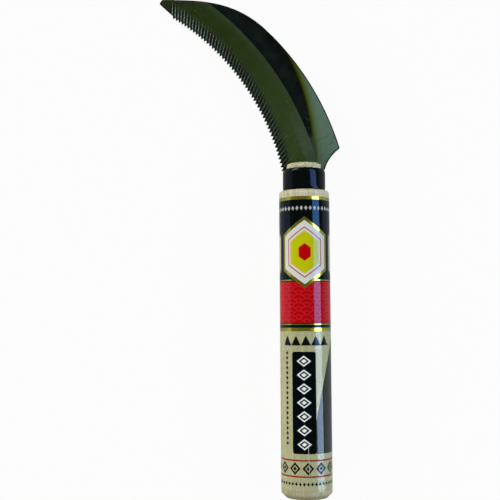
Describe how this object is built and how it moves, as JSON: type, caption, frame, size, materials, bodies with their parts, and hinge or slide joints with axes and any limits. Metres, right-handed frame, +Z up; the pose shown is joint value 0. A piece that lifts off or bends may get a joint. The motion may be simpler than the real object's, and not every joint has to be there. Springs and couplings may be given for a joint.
{
  "type": "rope cutting sickle",
  "caption": "Short hand sickle: a hollow-curved, single-bevel blade with fine saw teeth, a black ferrule and a straight round wooden handle in printed film.",
  "frame": {"origin": "middle of the bounding box's underside, on the surface that the sickle lies on", "axes": "+Y along the handle from the butt to the blade, +X from the point side to the heel side, +Z up from the surface, with the bevelled face of the blade up"},
  "size_m": [0.092, 0.2538, 0.0253],
  "materials": {
    "blade_steel": "dark green-brown clear-lacquered steel, glossy, with a blued flat above the ground bevel",
    "handle_wood": "pale turned hardwood, fine sanded",
    "ferrule_black": "gloss black lacquer",
    "pin_steel": "plain wire nail",
    "label_film": "thin glossy printed film, black with gold bands, clear below"
  },
  "bodies": {
    "root": {"blade": "blade_steel", "handle": "handle_wood", "ferrule": "ferrule_black", "tang_pin": "pin_steel", "label_film": "label_film"}
  },
  "joints": []
}
